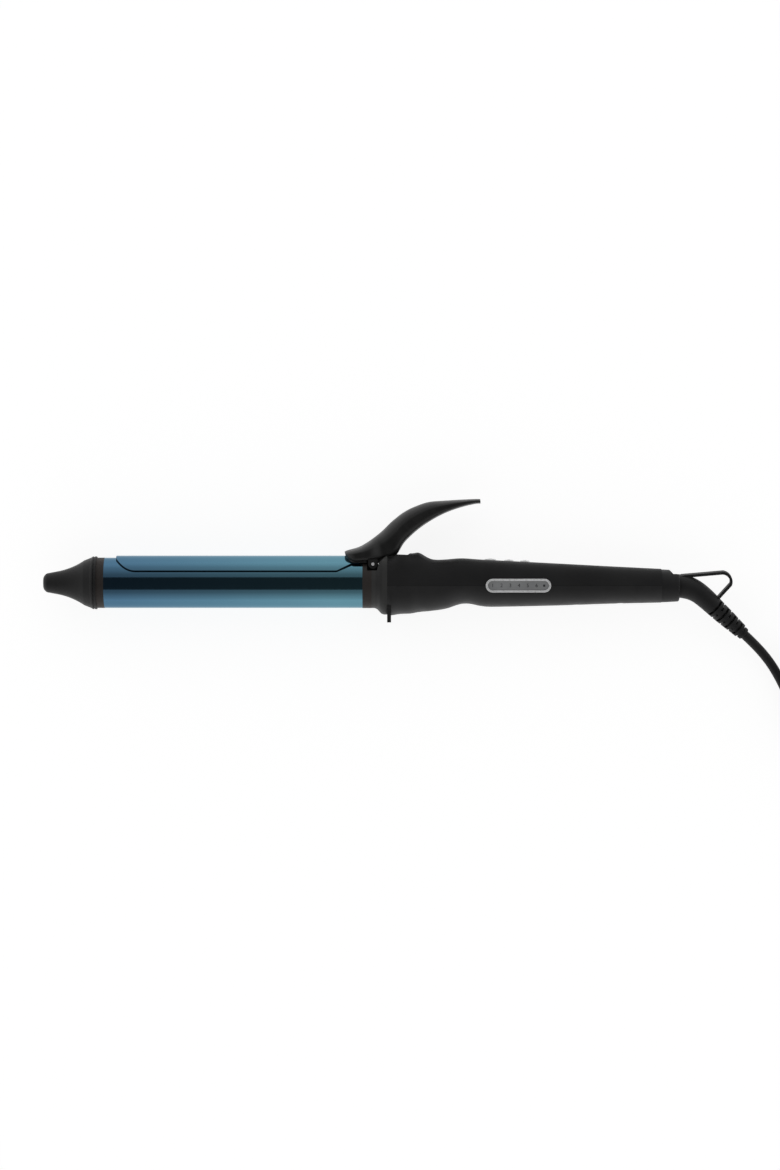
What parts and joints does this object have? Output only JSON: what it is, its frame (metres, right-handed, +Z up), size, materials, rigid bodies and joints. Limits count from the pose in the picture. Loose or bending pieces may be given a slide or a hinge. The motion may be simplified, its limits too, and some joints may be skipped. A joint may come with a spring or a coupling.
{
  "type": "curling iron",
  "caption": "Spring-clamp curling iron with a titanium-look barrel, thumb lever, display handle, push buttons and a swivel cord that ends in a plug.",
  "frame": {"origin": "under the middle of the iron (its box without the free cord), on the surface it lies on", "axes": "+X along the barrel from the cool tip to the cord, +Y across it towards the thumb lever, +Z up, out of the side that carries the display"},
  "size_m": [0.5742, 0.172, 0.0346],
  "materials": {
    "black_plastic": "soft satin moulded black",
    "insulator": "brownish black heat-resistant plastic",
    "titanium": "glossy blue-grey titanium coating",
    "silver_trim": "satin silver plating",
    "display_lens": "smooth smoked grey window",
    "steel": "plain machined steel",
    "aluminium": "plain aluminium",
    "ceramic": "unglazed white ceramic",
    "brass": "plain brass",
    "circuit_board": "green lacquered board",
    "lamp": "clear lamp body",
    "switch_plastic": "black switch body",
    "lead_sleeve": "fibreglass sleeve",
    "cord_rubber": "smooth black cord jacket",
    "tie": "black soft tie"
  },
  "bodies": {
    "handle": {"cool_tip": "black_plastic", "tip_ring": "insulator", "tip_screw": "steel", "barrel_tube": "titanium", "barrel_collar": "insulator", "heat_spreader_upper": "aluminium", "heat_spreader_lower": "aluminium", "ceramic_heater": "ceramic", "thermistor": "ceramic", "thermal_fuse": "aluminium", "heater_leads": "lead_sleeve", "sensor_leads": "lead_sleeve", "hinge_bracket": "steel", "bracket_screws": "steel", "torsion_spring": "steel", "front_housing": "black_plastic", "stand_plate": "black_plastic", "handle_shell_upper": "black_plastic", "handle_shell_lower": "black_plastic", "shell_screws": "steel", "display_bezel": "silver_trim", "display_lens": "display_lens", "display_board": "circuit_board", "display_leds": "lamp", "control_board": "circuit_board", "tact_switches": "switch_plastic", "tail_cap": "black_plastic", "brush_block": "insulator", "contact_brushes": "brass", "supply_leads": "lead_sleeve", "cord_run": "cord_rubber", "cord_coil": "cord_rubber", "cord_end": "cord_rubber", "cord_tie": "tie", "plug_body": "cord_rubber", "plug_blades": "brass"},
    "clamp": {"clamp_plate": "titanium", "lever": "black_plastic", "hinge_pin": "steel", "clamp_screws": "steel"},
    "power_button": {"power_button": "silver_trim"},
    "up_button": {"up_button": "silver_trim"},
    "down_button": {"down_button": "silver_trim"},
    "cord_swivel": {"swivel_core": "insulator", "contact_ring_live": "brass", "contact_ring_neutral": "brass", "strain_relief": "cord_rubber", "hang_loop": "cord_rubber"}
  },
  "joints": [
    {"name": "clamp_hinge", "type": "hinge", "parent": "handle", "child": "clamp", "pos_m": [-0.0149, 0.0042, 0.0168], "axis": [0, 0, -1], "range_deg": [0, 17], "stiffness_Nm_per_rad": 0.08, "springref_deg": -40.11, "deforming": ["torsion_spring"]},
    {"name": "power_press", "type": "slide", "parent": "handle", "child": "power_button", "axis": [0, -1, 0], "range_m": [0, 0.0006], "stiffness_N_per_m": 1500, "springref_m": -0.0003},
    {"name": "up_press", "type": "slide", "parent": "handle", "child": "up_button", "axis": [0, -1, 0], "range_m": [0, 0.0006], "stiffness_N_per_m": 1500, "springref_m": -0.0003},
    {"name": "down_press", "type": "slide", "parent": "handle", "child": "down_button", "axis": [0, -1, 0], "range_m": [0, 0.0006], "stiffness_N_per_m": 1500, "springref_m": -0.0003},
    {"name": "cord_swivel_turn", "type": "hinge", "parent": "handle", "child": "cord_swivel", "pos_m": [0.1694, -0.00955, 0.0168], "axis": [-1, 0, 0], "continuous": true}
  ]
}
